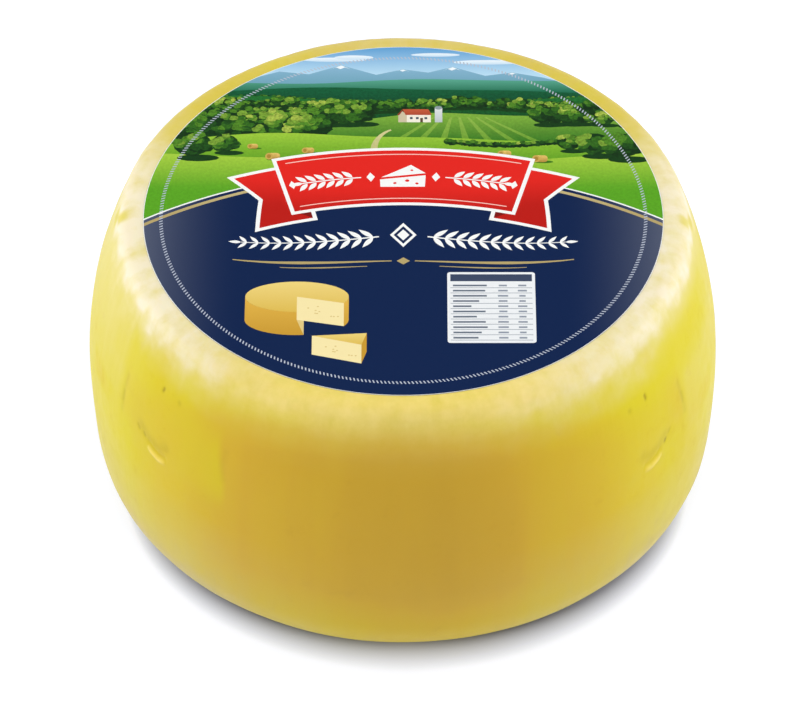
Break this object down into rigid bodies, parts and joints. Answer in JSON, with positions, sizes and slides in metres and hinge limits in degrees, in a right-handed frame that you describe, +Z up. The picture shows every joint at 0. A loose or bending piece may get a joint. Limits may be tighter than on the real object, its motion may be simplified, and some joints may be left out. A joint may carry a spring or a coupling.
{
  "type": "reggianito cheese wheel",
  "caption": "Whole wheel of hard grating cheese: a squat drum with a bulging side, a tight shoulder and a softer foot, in a yellow coating, with a round printed label on its flat top.",
  "frame": {"origin": "middle of the flat underside, which is the face that the wheel stands on", "axes": "+Z up along the wheel's axis; -Y is the front, the side that the label's print faces; +X is to the right of someone who looks at the front"},
  "size_m": [0.2507, 0.2495, 0.1299],
  "materials": {
    "coating": "satin",
    "label_print": "satin"
  },
  "bodies": {
    "root": {"cheese_wheel": "coating", "top_label": "label_print"}
  },
  "joints": []
}
